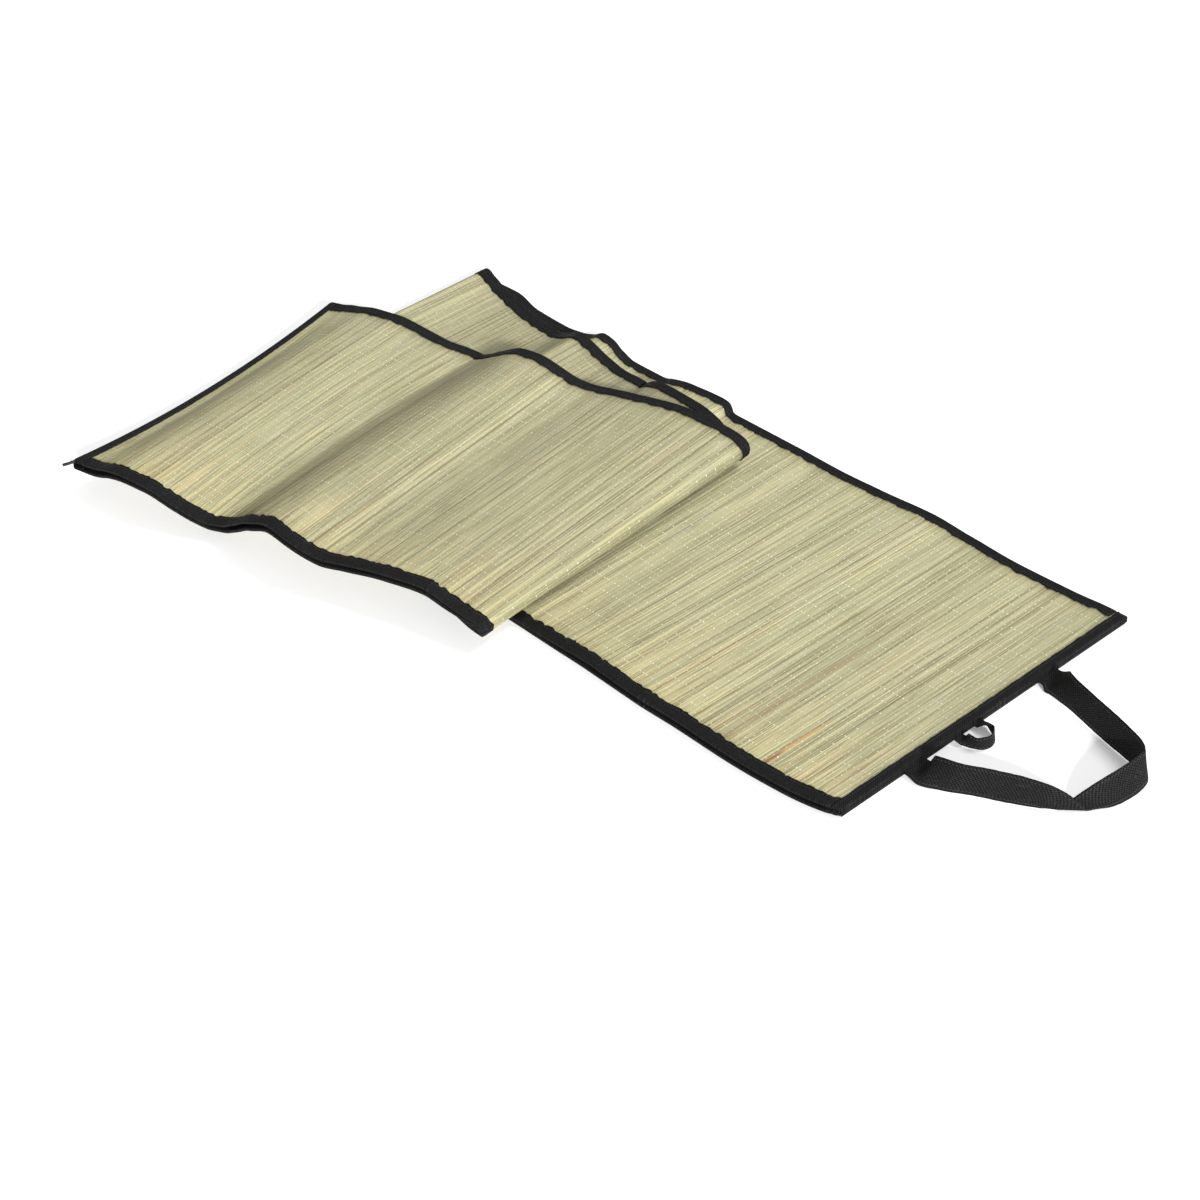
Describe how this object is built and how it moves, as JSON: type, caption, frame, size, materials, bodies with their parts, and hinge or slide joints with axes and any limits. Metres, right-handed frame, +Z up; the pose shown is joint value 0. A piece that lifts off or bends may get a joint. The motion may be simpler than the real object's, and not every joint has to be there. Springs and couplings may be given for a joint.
{
  "type": "folded straw beach mat",
  "caption": "Straw beach mat with black fabric binding, folded in half lengthwise and laid in a loose Z, with a carrying handle and a small closing loop.",
  "frame": {"origin": "on the floor under the middle of the mat's bounding box, as it lies folded", "axes": "+X along the mat's length towards the carrying handle, +Y across its width towards the folded spine, +Z up from the floor"},
  "size_m": [0.9971, 0.5529, 0.0601],
  "materials": {
    "straw": "woven straw, matte with a slight sheen",
    "straw_under": "woven straw, matte with a slight sheen",
    "black_tape": "matte non-woven cloth"
  },
  "bodies": {
    "root": {"straw_upper": "straw", "straw_lower": "straw_under", "spine_tape": "black_tape", "side_binding_upper": "black_tape", "side_binding_lower": "black_tape", "end_binding_right_upper": "black_tape", "end_binding_right_lower": "black_tape", "end_binding_left_upper": "black_tape", "end_binding_left_lower": "black_tape", "handle_strap": "black_tape", "closing_loop": "black_tape"}
  },
  "joints": []
}
